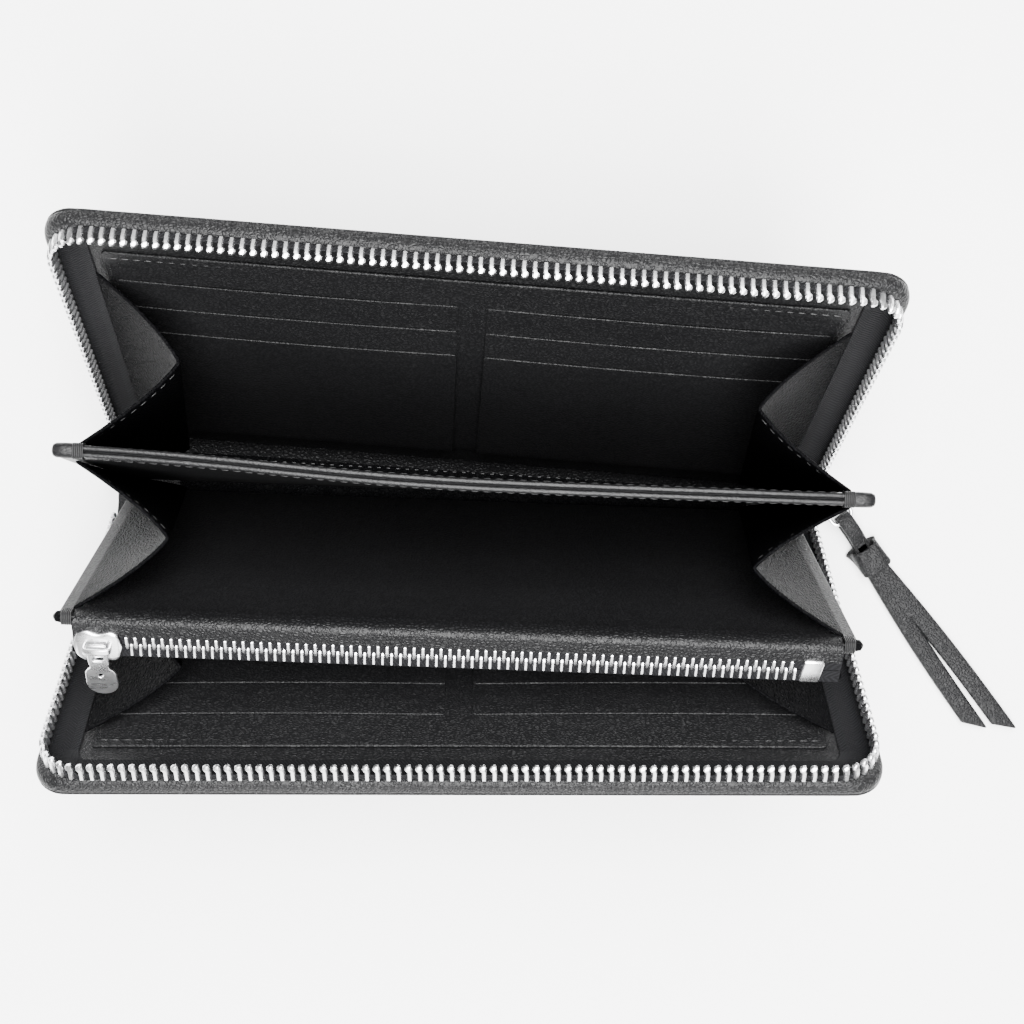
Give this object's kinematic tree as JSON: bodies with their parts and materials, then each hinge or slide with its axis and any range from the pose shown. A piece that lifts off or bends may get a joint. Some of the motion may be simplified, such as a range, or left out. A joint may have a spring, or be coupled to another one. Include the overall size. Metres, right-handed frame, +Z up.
{
  "type": "long wallet",
  "caption": "Zip-around long wallet in black grained leather, standing open in a V, with card slots, divider, zipped coin pocket, accordion gussets and a strap puller.",
  "frame": {"origin": "middle of the spine's underside, on the surface that the wallet stands on", "axes": "+X along the length towards the main zip slider, +Y towards the rear cover, +Z up"},
  "size_m": [0.2574, 0.1328, 0.0961],
  "materials": {
    "nickel_metal": "polished nickel plate",
    "zip_tape": "woven herringbone",
    "stiffener": "pressed board",
    "pocket_textile": "fine twill",
    "thread": "waxed thread",
    "strap_leather": "grained, painted edges",
    "grained_leather": "pebble grained, semi-matt",
    "lining_leather": "fine grained, semi-matt"
  },
  "bodies": {
    "root": {"spine_leather": "grained_leather", "spine_lining": "lining_leather", "divider_foot": "lining_leather", "divider_front_leaf": "lining_leather", "divider_core": "stiffener", "divider_rear_leaf": "lining_leather", "divider_bar_tacks": "thread", "main_zip_slider": "nickel_metal", "main_zip_bottom_stop": "nickel_metal", "rear_gusset_left": "lining_leather", "rear_gusset_right": "lining_leather", "middle_gusset_left": "lining_leather", "middle_gusset_right": "lining_leather"},
    "rear_cover": {"rear_card_slots_left": "lining_leather", "rear_card_slots_right": "lining_leather", "rear_cover_board": "stiffener", "rear_cover_leather": "grained_leather", "rear_cover_lining": "lining_leather", "rear_edge_strip": "grained_leather", "rear_slip_pocket": "lining_leather", "rear_zip_tape": "zip_tape", "rear_zip_teeth": "nickel_metal"},
    "front_cover": {"front_card_slots_left": "lining_leather", "front_card_slots_right": "lining_leather", "front_cover_board": "stiffener", "front_cover_leather": "grained_leather", "front_cover_lining": "lining_leather", "front_edge_strip": "grained_leather", "front_slip_pocket": "lining_leather", "front_zip_tape": "zip_tape", "front_zip_teeth": "nickel_metal"},
    "coin_pocket": {"coin_pocket_rear_wall": "lining_leather", "coin_pocket_front_wall": "lining_leather", "coin_pocket_welt": "lining_leather", "coin_pocket_lining": "pocket_textile", "coin_pocket_bar_tacks": "thread", "front_gusset_left": "lining_leather", "front_gusset_right": "lining_leather"},
    "coin_zip": {"coin_zip_tape_rear": "zip_tape", "coin_zip_tape_front": "zip_tape", "coin_zip_teeth_rear": "nickel_metal", "coin_zip_teeth_front": "nickel_metal", "coin_zip_stop": "nickel_metal"},
    "coin_slider": {"coin_zip_slider": "nickel_metal"},
    "coin_pull": {"coin_zip_pull_tab": "nickel_metal"},
    "pull_ring": {"main_pull_ring": "nickel_metal"},
    "strap": {"strap_loop": "strap_leather", "strap_tail_long": "strap_leather", "strap_tail_short": "strap_leather", "strap_keeper": "strap_leather"}
  },
  "joints": [
    {"name": "rear_open", "type": "hinge", "parent": "root", "child": "rear_cover", "pos_m": [0, 0.00925, 0.005], "axis": [-0.9954, 0, -0.0958], "range_deg": [-27.5, 6], "deforming": ["rear_gusset_left", "rear_gusset_right"]},
    {"name": "pocket_open", "type": "hinge", "parent": "root", "child": "coin_pocket", "pos_m": [0, -0.00925, 0.005], "axis": [1, 0, 0], "range_deg": [-21.5, 4], "deforming": ["middle_gusset_left", "middle_gusset_right"]},
    {"name": "front_open", "type": "hinge", "parent": "coin_pocket", "child": "front_cover", "pos_m": [0, -0.00925, 0.005], "axis": [0.99, -0.0263, 0.1387], "range_deg": [-15.89, 3], "deforming": ["front_gusset_left", "front_gusset_right"]},
    {"name": "coin_zip_fold", "type": "hinge", "parent": "coin_pocket", "child": "coin_zip", "pos_m": [0, -0.03385, 0.08452], "axis": [1, 0, 0], "range_deg": [-14.47, 74.01]},
    {"name": "coin_slider_run", "type": "slide", "parent": "coin_zip", "child": "coin_slider", "axis": [1, 0, 0], "range_m": [0, 0.1549]},
    {"name": "coin_pull_swing", "type": "hinge", "parent": "coin_slider", "child": "coin_pull", "pos_m": [-0.082, -0.04023, 0.08437], "axis": [-1, 0, 0], "range_deg": [0, 95]},
    {"name": "ring_swing", "type": "hinge", "parent": "root", "child": "pull_ring", "pos_m": [0.1053, -0.00215, 0.004], "axis": [0, 0, 1], "range_deg": [-20, 30]},
    {"name": "strap_lift", "type": "hinge", "parent": "pull_ring", "child": "strap", "pos_m": [0.10747, -0.00496, 0.004], "axis": [-0.7923, -0.6101, 0], "range_deg": [0, 80]}
  ],
  "couplings": [
    {"joint": "coin_zip_fold", "follows": "front_open", "ratio": -4.6563}
  ]
}
